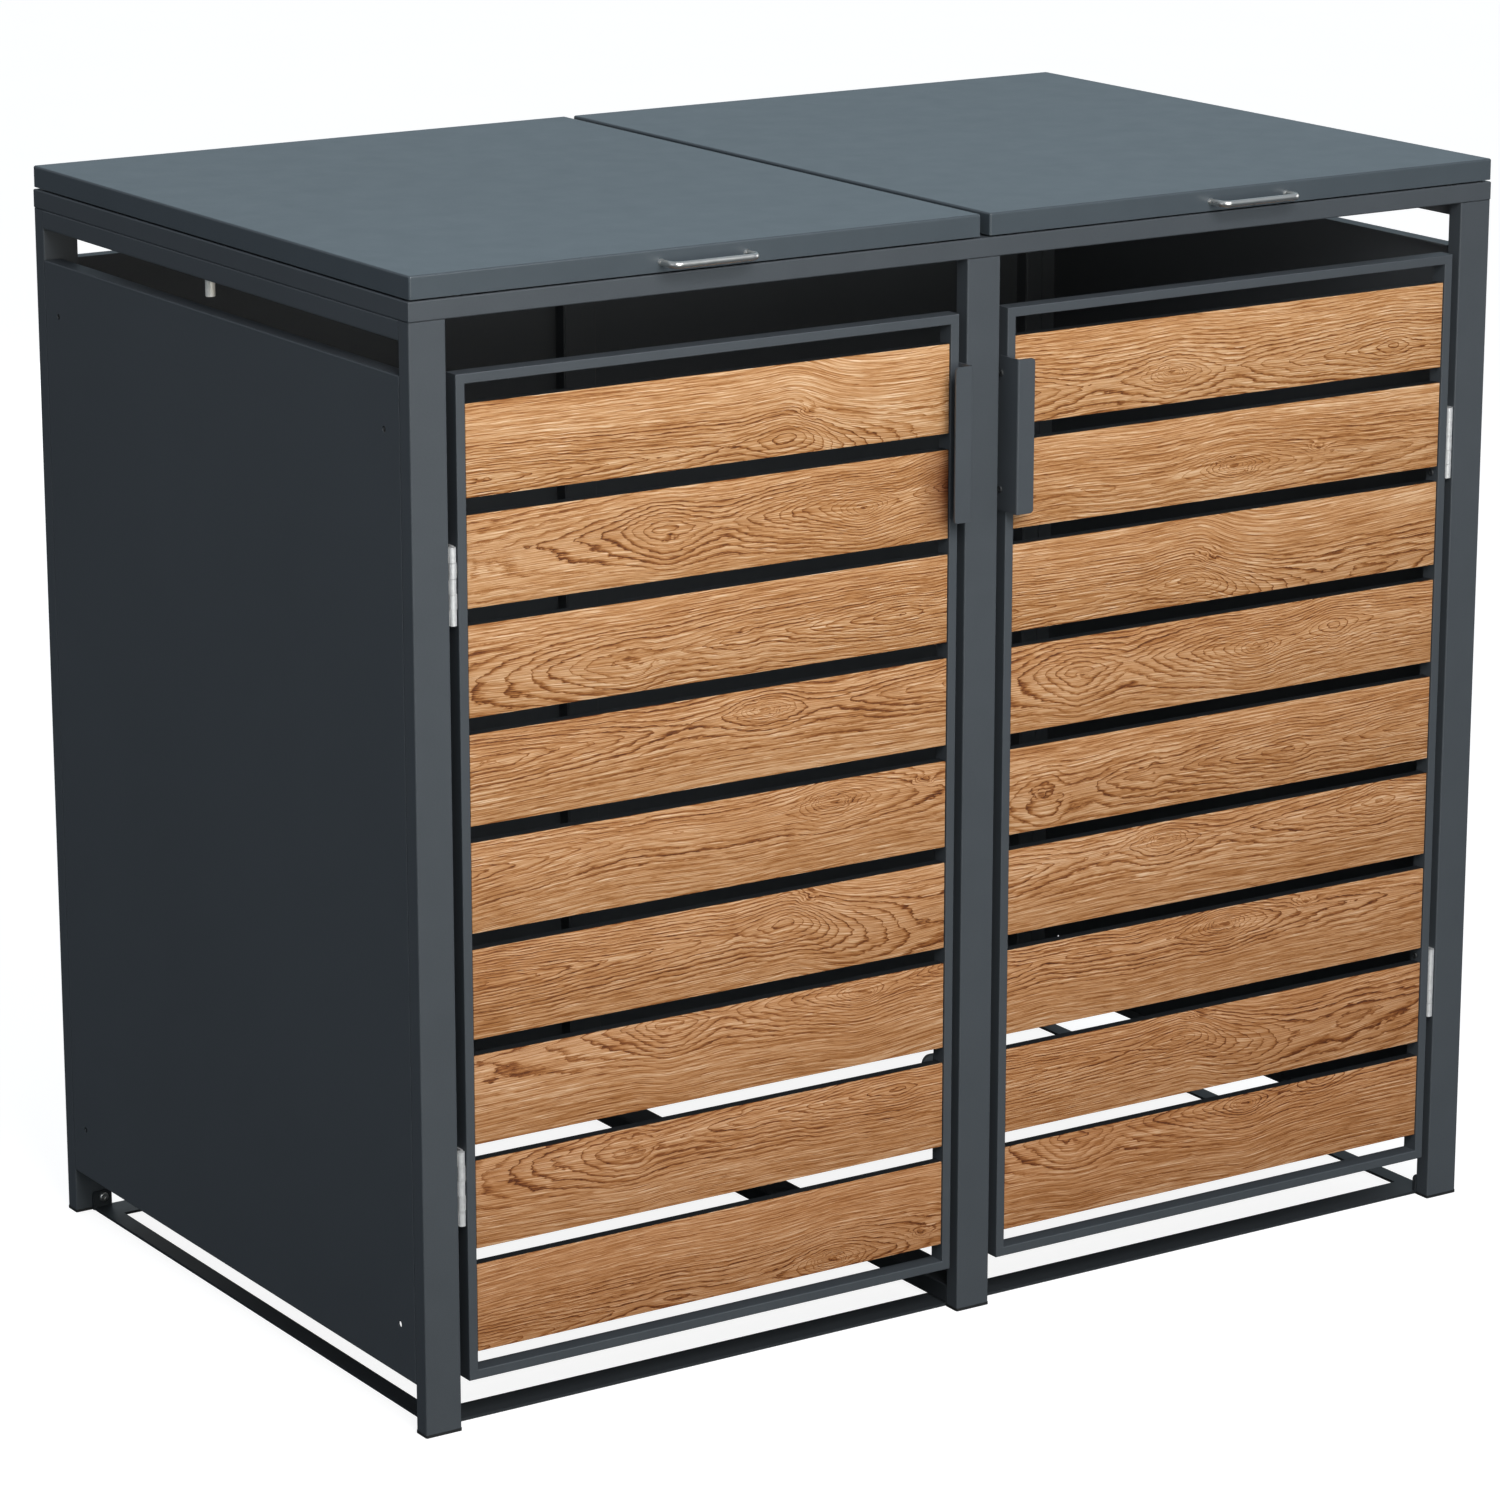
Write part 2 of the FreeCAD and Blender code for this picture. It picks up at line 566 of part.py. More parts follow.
# bow handle on the front rim: flat-oval bar, two legs with small collars
yb = BOW_FRONT + BOW_T / 2.0
k = math.sqrt(0.5)
x0, x1, r = LID_MID - BOW_HALF, LID_MID + BOW_HALF, BOW_R
path = Part.Wire([
    Part.LineSegment(V(x0, -LID_Y, BOW_Z), V(x0, yb + r, BOW_Z)).toShape(),
    Part.Arc(V(x0, yb + r, BOW_Z), V(x0 + r - r * k, yb + r - r * k, BOW_Z),
             V(x0 + r, yb, BOW_Z)).toShape(),
    Part.LineSegment(V(x0 + r, yb, BOW_Z), V(x1 - r, yb, BOW_Z)).toShape(),
    Part.Arc(V(x1 - r, yb, BOW_Z), V(x1 - r + r * k, yb + r - r * k, BOW_Z),
             V(x1, yb + r, BOW_Z)).toShape(),
    Part.LineSegment(V(x1, yb + r, BOW_Z), V(x1, -LID_Y, BOW_Z)).toShape(),
])
oval = Part.Ellipse(V(x0, -LID_Y, BOW_Z + BOW_H / 2.0), V(x0 + BOW_T / 2.0, -LID_Y, BOW_Z),
                    V(x0, -LID_Y, BOW_Z)).toShape()
bow = path.makePipeShell([Part.Wire([oval])], True, False)
feet = []
for x in (x0, x1):
    feet.append(Part.makeCone(3.9, 2.9, 2.0, V(x, -LID_Y, BOW_Z), V(0, -1, 0)))
bow = fuse([bow] + feet)
lid_screws = list(lid_moving_screws)
for x in (x0, x1):
    sc = bolt((x, -LID_Y + SHEET_T, BOW_Z), (0, -1, 0), 1.6, 10.0, 3.7, 2.0)
    bow = bow.cut(sc)
    lid_screws.append(sc)
for sc in lid_moving_blanks + lid_screws[len(lid_moving_screws):]:
    lid = lid.cut(sc)

# buffers that the lid edges rest on
buffers = []
for sx in (-1, 1):
    for x in (60.0, 604.0):
        for y in (-391.0, 391.0):
            b = cyl(5.0, 1.7, (sx * x, y, RING_Z1), (0, 0, 1))
            buffers.append(b)

# frame pieces that the hinge screws go into
for sc in lid_fixed_blanks:
    ring_rear = ring_rear.cut(sc).cut(mirrored(sc))
for sc in door_fixed_blanks:
    posts["post_front_right"] = posts["post_front_right"].cut(sc)
    posts["post_front_left"] = posts["post_front_left"].cut(mirrored(sc))

# --------------------------------------------------------------------- output
for name, s in posts.items():
    save(name, drill(s))
save("foot_caps", group(caps))
save("top_rail_front", ring_front)
save("top_rail_rear", ring_rear)
save("top_rail_right", ring_right)
save("top_rail_left", mirrored(ring_right))
save("top_rail_centre", ring_centre)
save("upper_rail_right", drill(upper_right))
save("upper_rail_left", drill(mirrored(upper_right)))
save("upper_rails_rear", group([upper_rear, mirrored(upper_rear)]))
save("side_panel_right", group([drill(s) for s in side_right]))
save("side_panel_left", group([drill(mirrored(s)) for s in side_right]))
save("back_panel_right", group([drill(s) for s in back_right]))
save("back_panel_left", group([drill(mirrored(s)) for s in back_right]))
save("base_strip_right", drill(strip_right))
save("base_strip_left", drill(mirrored(strip_right)))
save("base_strip_front", strip_front)
save("base_strip_rear", strip_rear)
save("base_rail_centre", base_centre)
save("frame_bolts", group(bolts))
save("rail_studs", group(studs))
save("door_stop_plates", group([drill(p) for p in stops]))
save("lid_buffers", group(buffers))
save("door_hinge_frame_leaves", group(door_fixed + [mirrored(s) for s in door_fixed]))
save("lid_hinge_frame_leaves", group(lid_fixed + [mirrored(s) for s in lid_fixed]))
pins = door_pins + lid_pins
save("hinge_pins", group(pins + [mirrored(s) for s in pins]))
screws = door_fixed_screws + lid_fixed_screws
save("frame_hinge_screws", group(screws + [mirrored(s) for s in screws]))

right = {
    "door_right_hinge_stile": hinge_stile,
    "door_right_closing_stile": closing_stile,
    "door_right_top_rail": door_top,
    "door_right_bottom_rail": door_bottom,
    "door_right_slat_boards": group(boards),
    "door_right_slat_channels": group(channels),
    "door_right_handle": pull,
    "door_right_hinge_leaves": group(door_moving),
    "door_right_screws": group(door_moving_screws),
    "lid_right_sheet": lid,
    "lid_right_stiffener": hat,
    "lid_right_handle": bow,
    "lid_right_hinge_leaves": group(lid_moving),
    "lid_right_screws": group(lid_screws),
}
for name, s in right.items():
    save(name, s)
    save(name.replace("right", "left"), mirrored(s))

for name, shape in nodes.items():
    shape = shape.copy()
    shape.translate(V(0, DY, 0))
    bad = [s for s in shape.Solids if not s.isValid() or s.Volume <= 0]
    if bad or not shape.Solids:
        print("CHECK", name, len(shape.Solids), "solids,", len(bad), "bad")
    if len(shape.Solids) == 1:
        shape = shape.Solids[0]
    shape.exportStep(os.path.join("parts", name + ".step"))
print(len(nodes), "nodes, DY =", DY)
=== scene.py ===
import math

import bmesh
import bpy
from mathutils import Matrix, Vector


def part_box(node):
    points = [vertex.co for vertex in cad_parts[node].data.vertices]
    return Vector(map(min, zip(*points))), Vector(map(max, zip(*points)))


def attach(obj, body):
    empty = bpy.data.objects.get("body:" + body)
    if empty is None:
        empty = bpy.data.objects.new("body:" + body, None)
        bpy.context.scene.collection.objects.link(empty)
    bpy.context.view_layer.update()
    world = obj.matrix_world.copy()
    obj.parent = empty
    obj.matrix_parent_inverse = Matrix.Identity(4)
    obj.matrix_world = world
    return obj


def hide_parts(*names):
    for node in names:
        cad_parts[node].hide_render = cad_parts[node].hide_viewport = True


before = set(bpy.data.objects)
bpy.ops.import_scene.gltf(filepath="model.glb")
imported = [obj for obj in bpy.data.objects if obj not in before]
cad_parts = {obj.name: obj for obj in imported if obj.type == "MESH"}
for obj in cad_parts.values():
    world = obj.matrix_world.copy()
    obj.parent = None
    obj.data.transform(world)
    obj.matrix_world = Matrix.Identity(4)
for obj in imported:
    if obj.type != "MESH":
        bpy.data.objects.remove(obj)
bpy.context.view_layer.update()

# ------------------------------------------------------------------ node tools


class Tree:
    """Short names for building a material out of nodes."""

    def __init__(self, name):
        self.mat = bpy.data.materials.new(name)
        self.mat.use_nodes = True
        self.nt = self.mat.node_tree
        self.nt.nodes.clear()
        self.out = self.nt.nodes.new("ShaderNodeOutputMaterial")
        self.bsdf = self.nt.nodes.new("ShaderNodeBsdfPrincipled")
        self.nt.links.new(self.bsdf.outputs["BSDF"], self.out.inputs["Surface"])

    def put(self, socket, value):
        if value is None:
            return
        if isinstance(value, bpy.types.NodeSocket):
            self.nt.links.new(value, socket)
        elif hasattr(value, "__len__") and len(value) == 3 and len(socket.default_value) == 4:
            socket.default_value = (*value, 1.0)
        else:
            socket.default_value = value

    def node(self, kind, **settings):
        n = self.nt.nodes.new(kind)
        for k, v in settings.items():
            setattr(n, k, v)
        return n

    def math(self, op, a, b=None, c=None, clamp=False):
        n = self.node("ShaderNodeMath", operation=op, use_clamp=clamp)
        for i, v in enumerate((a, b, c)):
            self.put(n.inputs[i], v)
        return n.outputs[0]

    def vmath(self, op, a, b=None):
        n = self.node("ShaderNodeVectorMath", operation=op)
        self.put(n.inputs[0], a)
        if b is not None:
            self.put(n.inputs[1], b)
        return n.outputs["Value"] if op in ("LENGTH", "DOT_PRODUCT") else n.outputs[0]

    def join(self, x, y, z):
        n = self.node("ShaderNodeCombineXYZ")
        for i, v in enumerate((x, y, z)):
            self.put(n.inputs[i], v)
        return n.outputs[0]

    def split(self, v):
        n = self.node("ShaderNodeSeparateXYZ")
        self.put(n.inputs[0], v)
        return n.outputs[0], n.outputs[1], n.outputs[2]

    def place(self):
        """The rest-frame position in metres."""
        return self.node("ShaderNodeTexCoord").outputs["Object"]

    def stretch(self, vector, scale, shift=(0, 0, 0)):
        n = self.node("ShaderNodeMapping")
        self.put(n.inputs["Vector"], vector)
        n.inputs["Scale"].default_value = scale
        n.inputs["Location"].default_value = shift
        return n.outputs[0]

    def noise(self, vector, scale=1.0, detail=2.0, rough=0.5, distortion=0.0, colour=False):
        n = self.node("ShaderNodeTexNoise", noise_dimensions="3D")
        self.put(n.inputs["Vector"], vector)
        n.inputs["Scale"].default_value = scale
        n.inputs["Detail"].default_value = detail
        n.inputs["Roughness"].default_value = rough
        n.inputs["Distortion"].default_value = distortion
        return n.outputs["Color" if colour else "Fac"]

    def ramp(self, fac, stops, mode="LINEAR"):
        n = self.node("ShaderNodeValToRGB")
        n.color_ramp.interpolation = mode
        self.put(n.inputs[0], fac)
        e = n.color_ramp.elements
        while len(e) < len(stops):
            e.new(0.5)
        for i, (p, c) in enumerate(stops):
            e[i].position = p
            e[i].color = (*c, 1.0) if hasattr(c, "__len__") else (c, c, c, 1.0)
        return n.outputs["Color"]

    def span(self, value, a, b, c, d, smooth=False):
        n = self.node("ShaderNodeMapRange", clamp=True)
        if smooth:
            n.interpolation_type = "SMOOTHSTEP"
        self.put(n.inputs["Value"], value)
        for k, v in (("From Min", a), ("From Max", b), ("To Min", c), ("To Max", d)):
            self.put(n.inputs[k], v)
        return n.outputs["Result"]

    def mix(self, fac, a, b, blend="MIX"):
        n = self.node("ShaderNodeMix", data_type="RGBA", blend_type=blend)
        self.put(n.inputs[0], fac)
        self.put(n.inputs[6], a)
        self.put(n.inputs[7], b)
        return n.outputs[2]

    def bump(self, height, distance, strength=1.0, normal=None):
        n = self.node("ShaderNodeBump")
        n.inputs["Strength"].default_value = strength
        n.inputs["Distance"].default_value = distance
        self.put(n.inputs["Height"], height)
        if normal is not None:
            self.put(n.inputs["Normal"], normal)
        return n.outputs["Normal"]


def shade(rgb, k):
    return tuple(c * k for c in rgb)


# ------------------------------------------------------------------- materials


def powder_coat(name, rgb, rough, specular=0.5, peel=1.0):
    """Fine matt powder coat: a pebbled skin about half a millimetre across,
    a faint orange peel a few millimetres across, and a slow drift of tone."""
    t = Tree(name)
    p = t.place()
    drift = t.noise(p, 2.3, 3.0, 0.55)
    cloud = t.noise(p, 26.0, 4.0, 0.6)
    tone = t.math("ADD", t.math("MULTIPLY", drift, 0.6), t.math("MULTIPLY", cloud, 0.4))
    colour = t.ramp(tone, [(0.30, shade(rgb, 0.93)), (0.5, rgb), (0.72, shade(rgb, 1.07))])
    pebble = t.noise(p, 1900.0, 2.0, 0.6)
    skin = t.noise(p, 330.0, 2.0, 0.5)
    speck = t.span(pebble, 0.32, 0.68, 0.94, 1.06)
    colour = t.mix(1.0, colour, speck, "MULTIPLY")
    t.put(t.bsdf.inputs["Base Color"], colour)
    wander = t.math("ADD", t.math("MULTIPLY", cloud, 0.10), t.math("MULTIPLY", pebble, 0.05))
    t.put(t.bsdf.inputs["Roughness"], t.math("ADD", wander, rough - 0.075))
    height = t.math("ADD", t.math("MULTIPLY", pebble, 0.45), t.math("MULTIPLY", skin, 0.9))
    t.put(t.bsdf.inputs["Normal"], t.bump(height, 0.00012 * peel, 0.55))
    t.bsdf.inputs["Specular IOR Level"].default_value = specular
    return t.mat


def zinc(name, rgb, rough, along=2, metal=1.0):
    """Bright zinc plate: fine drawing lines, faint patches and dull spots."""
    t = Tree(name)
    p = t.place()
    scale = [420.0, 420.0, 420.0]
    scale[along] = 14.0
    lines = t.noise(t.stretch(p, scale), 1.0, 3.0, 0.6)
    patch = t.noise(p, 95.0, 4.0, 0.6)
    cell = t.node("ShaderNodeTexVoronoi", feature="F1")
    t.put(cell.inputs["Vector"], p)
    cell.inputs["Scale"].default_value = 240.0
    grain = t.math("MULTIPLY", cell.outputs["Distance"], 0.25)
    tone = t.math("ADD", t.math("ADD", t.math("MULTIPLY", lines, 0.45), t.math("MULTIPLY", patch, 0.45)), grain)
    t.put(t.bsdf.inputs["Base Color"],
          t.ramp(tone, [(0.32, shade(rgb, 0.80)), (0.55, rgb), (0.78, shade(rgb, 1.12))]))
    t.bsdf.inputs["Metallic"].default_value = metal
    t.put(t.bsdf.inputs["Roughness"], t.span(tone, 0.3, 0.8, rough - 0.07, rough + 0.12))
    t.put(t.bsdf.inputs["Normal"], t.bump(lines, 0.00005, 0.5))
    return t.mat


def brushed(name, rgb, rough):
    """Satin nickel on the bow handles, brushed along the bar (X)."""
    t = Tree(name)
    p = t.place()
    lines = t.noise(t.stretch(p, (9.0, 900.0, 900.0)), 1.0, 4.0, 0.65)
    soft = t.noise(p, 60.0, 3.0, 0.5)
    tone = t.math("ADD", t.math("MULTIPLY", lines, 0.6), t.math("MULTIPLY", soft, 0.4))
    t.put(t.bsdf.inputs["Base Color"],
          t.ramp(tone, [(0.30, shade(rgb, 0.86)), (0.52, rgb), (0.75, shade(rgb, 1.07))]))
    t.bsdf.inputs["Metallic"].default_value = 1.0
    t.put(t.bsdf.inputs["Roughness"], t.span(tone, 0.3, 0.75, rough - 0.05, rough + 0.08))
    t.put(t.bsdf.inputs["Normal"], t.bump(lines, 0.00004, 0.6))
    return t.mat


def moulded(name, rgb, rough, grain):
    """Moulded plastic or rubber with a spark-eroded texture."""
    t = Tree(name)
    p = t.place()
    fine = t.noise(p, grain, 3.0, 0.65)
    broad = t.noise(p, 40.0, 3.0, 0.5)
    t.put(t.bsdf.inputs["Base Color"],
          t.ramp(broad, [(0.3, shade(rgb, 0.82)), (0.7, shade(rgb, 1.22))]))
    t.put(t.bsdf.inputs["Roughness"], t.span(fine, 0.25, 0.75, rough - 0.06, rough + 0.08))
    t.put(t.bsdf.inputs["Normal"], t.bump(fine, 0.00015, 0.6))
    return t.mat


def oak(name):
    """Flat-sawn oak on the slats. The mesh carries, for every board, the place
    along the board, the distance from the middle of its cathedral figure and a
    seed ("grain"), and the place seen from each of two knots ("knot_a",
    "knot_b", whose third number is the knot's strength)."""
    t = Tree(name)

    def attribute(key):
        n = t.node("ShaderNodeAttribute", attribute_name=key)
        return t.split(n.outputs["Vector"])

    x, d, seed = attribute("grain")
    flame, soft, slope = attribute("figure")
    kax, kaz, kaw = attribute("knot_a")
    kbx, kbz, kbw = attribute("knot_b")
    s = t.math("MULTIPLY", seed, 7.31)

    # growth rings, counted along a figure of nested flames
    sway = t.noise(t.join(t.math("MULTIPLY", x, 7.0), s, 3.1), 1.0, 2.0, 0.5)
    skew = t.noise(t.join(t.math("MULTIPLY", x, 26.0), t.math("MULTIPLY", d, 34.0), s), 1.0, 2.0, 0.5)
    d1 = t.math("ADD", d, t.math("MULTIPLY", t.math("SUBTRACT", sway, 0.5), 0.008))
    d1 = t.math("ADD", d1, t.math("MULTIPLY", t.math("SUBTRACT", skew, 0.5), 0.004))
    edge = t.noise(t.join(t.math("MULTIPLY", x, 34.0), t.math("MULTIPLY", d, 90.0), s), 1.0, 3.0, 0.6)
    edge = t.math("MULTIPLY", t.math("SUBTRACT", edge, 0.5), 0.9)
    dd = t.math("MULTIPLY", d1, d1)
    reach = t.math("SQRT", t.math("ADD", dd, t.math("MULTIPLY", soft, soft)))
    run = t.noise(t.join(t.math("MULTIPLY", x, 22.0), s, 19.3), 1.0, 2.0, 0.5)
    flame = t.math("ADD", flame, t.math("MULTIPLY", t.math("SUBTRACT", run, 0.5), 1.1))
    fade = t.math("DIVIDE", 1.0, t.math("ADD", 1.0, t.math("MULTIPLY", dd, 1.0 / 0.026 ** 2)))
    push = t.math("MULTIPLY", flame, fade)

    bend = t.noise(t.join(t.math("MULTIPLY", x, 60.0), t.math("MULTIPLY", d, 150.0), t.math("ADD", s, 4.0)), 1.0, 2.0, 0.5)
    bend = t.math("MULTIPLY", t.math("SUBTRACT", bend, 0.5), 1.6)

    def knot(kx, kz, kw):
        kx = t.math("ADD", kx, bend)
        kz = t.math("SUBTRACT", kz, bend)
        r2 = t.math("ADD", t.math("MULTIPLY", kx, kx), t.math("MULTIPLY", kz, kz))
        lift = t.math("DIVIDE", kw, t.math("ADD", 1.0, t.math("MULTIPLY", r2, 0.9)))
        core = t.math("MULTIPLY", t.math("MINIMUM", t.math("ABSOLUTE", kw), 1.0),
                      t.span(r2, 0.0, 0.20, 1.0, 0.0, True))
        return lift, core

    la, ca = knot(kax, kaz, kaw)
    lb, cb = knot(kbx, kbz, kbw)
    push = t.math("ADD", push, t.math("ADD", la, lb))
    wob = t.noise(t.join(t.math("MULTIPLY", x, 70.0), t.math("MULTIPLY", d, 300.0), s), 1.0, 2.0, 0.5)
    lean = t.math("ADD", 1.0, t.math("MULTIPLY", t.math("DIVIDE", d1, reach), 0.16))
    rings = t.math("ADD", t.math("ADD", push, t.math("MULTIPLY", t.math("MULTIPLY", reach, lean), RINGS)),
                   t.math("ADD", edge, t.math("MULTIPLY", t.math("SUBTRACT", wob, 0.5), 0.6)))
    # height across the grain, which runs round the figure on both sides
    turn = t.math("DIVIDE", d1, t.math("SQRT", t.math("ADD", dd, 0.006 ** 2)))
    straight = t.math("ADD", t.math("MULTIPLY", d, 0.75), t.math("MULTIPLY", d1, 0.25))
    lead = t.math("MULTIPLY", turn, t.math("MAXIMUM", push, -1.5))
    follow = t.math("ADD", straight, t.math("MULTIPLY", lead, 0.30 / RINGS))

    index = t.math("FLOOR", rings)
    part = t.math("SUBTRACT", rings, index)
    chance = t.node("ShaderNodeTexWhiteNoise", noise_dimensions="2D")
    t.put(chance.inputs["Vector"], t.join(index, s, 0.0))
    weight = t.span(chance.outputs["Value"], 0.0, 1.0, 0.30, 1.0)
    # how fast the rings follow on each other here, so that the late wood is
    # about as wide wherever the figure spreads
    across = t.math("MULTIPLY", t.math("DIVIDE", d1, reach), RINGS)
    ahead = t.math("MULTIPLY", slope, fade)
    rate = t.math("SQRT", t.math("ADD", t.math("ADD", t.math("MULTIPLY", across, across),
                                             t.math("MULTIPLY", ahead, ahead)), 40.0 ** 2))
    wide = t.noise(t.join(t.math("MULTIPLY", x, 16.0), t.math("MULTIPLY", d, 120.0), t.math("ADD", s, 6.0)), 1.0, 2.0, 0.5)
    inner = t.math("DIVIDE", t.math("SUBTRACT", 1.0, part), rate)
    inner = t.math("DIVIDE", inner, t.span(wide, 0.3, 0.7, 0.0011, 0.0026))
    outer = t.math("DIVIDE", t.math("DIVIDE", part, rate), 0.0005)
    line = t.math("ADD", t.math("SUBTRACT", 1.0, inner, clamp=True), t.math("SUBTRACT", 1.0, outer, clamp=True), clamp=True)
    line = t.math("ADD", t.math("MULTIPLY", line, 0.86), t.math("MULTIPLY", t.math("POWER", part, 3.0), 0.26))
    near = t.span(t.math("ABSOLUTE", d1), 0.022, 0.052, 1.0, 0.36, True)
    line = t.math("MULTIPLY", t.math("MULTIPLY", line, weight), near)
    broken = t.noise(t.join(t.math("MULTIPLY", x, 34.0), t.math("MULTIPLY", follow, 900.0), s), 1.0, 2.0, 0.6)
    line = t.math("MULTIPLY", line, t.span(broken, 0.30, 0.58, 0.62, 1.0))

    # fibres and pores, short and thin, that follow the rings
    fibre = t.noise(t.join(t.math("MULTIPLY", x, 15.0), t.math("MULTIPLY", follow, 1250.0), s), 1.0, 2.0, 0.55)
    fibre2 = t.noise(t.join(t.math("MULTIPLY", x, 8.0), t.math("MULTIPLY", follow, 380.0), s), 1.0, 2.0, 0.5)
    pore = t.noise(t.join(t.math("MULTIPLY", x, 50.0), t.math("MULTIPLY", follow, 1300.0), t.math("ADD", s, 5.0)), 1.0, 1.0, 0.5)
    pores = t.span(pore, 0.58, 0.70, 0.0, 1.0, True)
    ray = t.noise(t.join(t.math("MULTIPLY", x, 30.0), t.math("MULTIPLY", follow, 760.0), t.math("ADD", s, 9.0)), 1.0, 1.0, 0.5)
    rays = t.span(ray, 0.58, 0.72, 0.0, 1.0, True)
    broad = t.noise(t.join(t.math("MULTIPLY", x, 2.4), t.math("MULTIPLY", d, 30.0), t.math("ADD", s, 2.0)), 1.0, 2.0, 0.5)

    def part_of(value, k):
        return t.math("MULTIPLY", t.math("SUBTRACT", value, 0.5), k)

    tone = t.math("ADD", part_of(fibre, 1.10), part_of(fibre2, 0.24))
    tone = t.math("ADD", tone, part_of(broad, 0.24))
    tone = t.math("ADD", tone, 0.604)
    tone = t.math("SUBTRACT", tone, t.math("MULTIPLY", line, 0.64))
    tone = t.math("SUBTRACT", tone, t.math("MULTIPLY", pores, 0.18))
    tone = t.math("ADD", tone, t.math("MULTIPLY", rays, 0.18))
    core = t.math("MAXIMUM", ca, cb)
    tone = t.math("SUBTRACT", tone, t.math("MULTIPLY", core, 0.26))
    colour = t.ramp(tone, OAK)
    painted_shade, low_shade, _ = attribute("painted_shade")
    # painted shade: each board's wood is darkened by its place down the door, from none at the top board to full
    # at the bottom one
    colour = t.mix(low_shade, colour, t.vmath("MULTIPLY", colour, OAK_LOW_SHADE))
    # painted shade beside the left door's grip: the wood darkens and reddens towards the board's right end
    colour = t.mix(painted_shade, colour, t.vmath("MULTIPLY", colour, OAK_GRIP_SHADE))
    t.put(t.bsdf.inputs["Base Color"], colour)
    rough = t.math("ADD", t.math("MULTIPLY", fibre, 0.16), t.math("MULTIPLY", line, 0.10))
    t.put(t.bsdf.inputs["Roughness"], t.math("ADD", rough, 0.44))
    relief = t.math("SUBTRACT", t.math("MULTIPLY", fibre, 0.8), t.math("ADD", t.math("MULTIPLY", pores, 0.6), t.math("MULTIPLY", line, 0.35)))
    t.put(t.bsdf.inputs["Normal"], t.bump(relief, 0.00030, 0.55))
    t.bsdf.inputs["Specular IOR Level"].default_value = 0.30
    return t.mat


RINGS = 215.0  # growth rings in a metre across the board
OAK = [
    (0.00, (0.100, 0.026, 0.006)),
    (0.22, (0.215, 0.066, 0.012)),
    (0.42, (0.372, 0.156, 0.046)),
    (0.56, (0.507, 0.255, 0.104)),
    (0.72, (0.645, 0.388, 0.205)),
    (0.92, (0.830, 0.610, 0.410)),
]
OAK_LOW_SHADE = (0.85, 0.76, 0.72)  # painted shade: the lower boards are drawn darker, as if less light reached them
# painted shade beside the left door's grip, multiplied into the wood
OAK_GRIP_SHADE = (0.26, 0.115, 0.065)

PAINT = (0.060, 0.0685, 0.0780)
M = {
    "frame_paint": powder_coat("frame_paint", PAINT, 0.50, 0.42),
    "panel_paint": powder_coat("panel_paint", PAINT, 0.52, 0.42),
    # the base strips wear the frame's paint; this darker copy is painted shade, as they lie low and flat
    "base_paint": powder_coat("base_paint", shade(PAINT, 0.45), 0.55, 0.30),
    "door_paint": powder_coat("door_paint", PAINT, 0.50, 0.42),
    # the slat channels wear the frame's paint; this darker copy is painted shade for their top flanges in the gaps
    # between the boards
    "channel_paint": powder_coat("channel_paint", shade(PAINT, 0.24), 0.60, 0.20),
    "grip_paint": powder_coat("grip_paint", PAINT, 0.48, 0.45),
    # the lids wear the frame's paint; this bluer copy is a painted reflection of the bluish light from above on
    # the lid tops
    "lid_paint": powder_coat("lid_paint", (0.0560, 0.0700, 0.0820), 0.42, 0.55, 0.8),
    "slat_wood": oak("slat_wood"),
    "zinc_hinges": zinc("zinc_hinges", (0.74, 0.74, 0.74), 0.42, 2, 0.45),
    "zinc_fasteners": zinc("zinc_fasteners", (0.62, 0.62, 0.61), 0.32),
    "dark_fasteners": zinc("dark_fasteners", (0.024, 0.026, 0.028), 0.55, 2, 0.1),
    "zinc_stud": zinc("zinc_stud", (0.84, 0.83, 0.78), 0.40, 2, 0.35),
    "handle_metal": brushed("handle_metal", (0.74, 0.73, 0.70), 0.30),
    "cap_plastic": moulded("cap_plastic", (0.016, 0.017, 0.018), 0.52, 2400.0),
    "buffer_rubber": moulded("buffer_rubber", (0.012, 0.012, 0.012), 0.78, 1500.0),
}

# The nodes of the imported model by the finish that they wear.
FINISH = (
    ("slat_boards", "slat_wood"),
    ("slat_channels", "channel_paint"),
    ("foot_caps", "cap_plastic"),
    ("lid_buffers", "buffer_rubber"),
    ("rail_studs", "zinc_stud"),
    ("hinge_screws", "zinc_fasteners"),
    ("door_left_screws", "dark_fasteners"),
    ("door_right_screws", "dark_fasteners"),
    ("_screws", "zinc_fasteners"),
    ("frame_bolts", "zinc_fasteners"),
    ("hinge_pins", "zinc_hinges"),
    ("hinge_leaves", "zinc_hinges"),
    ("hinge_frame_leaves", "zinc_hinges"),
    ("door_left_handle", "grip_paint"),
    ("door_right_handle", "grip_paint"),
    ("lid_left_handle", "handle_metal"),
    ("lid_right_handle", "handle_metal"),
    ("lid_", "lid_paint"),
    ("base_", "base_paint"),
    ("panel", "panel_paint"),
    ("door_stop_plates", "frame_paint"),
    ("door_", "door_paint"),
    ("", "frame_paint"),
)

for name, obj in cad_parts.items():
    finish = next(f for key, f in FINISH if key in name)
    obj.data.materials.clear()
    obj.data.materials.append(M[finish])
    if "hinge" in name and "leaves" in name:
        # eased ends on the knuckles, which show as lines across the barrel
        ease = obj.modifiers.new("ease", "BEVEL")
        ease.width = 0.0004
        ease.segments = 2
        ease.limit_method = "ANGLE"
        ease.angle_limit = math.radians(50)

# ---------------------------------------------------------------- oak boards
BOARD_H = 0.091
PITCH = 0.1078
TOP_0 = 1.0322

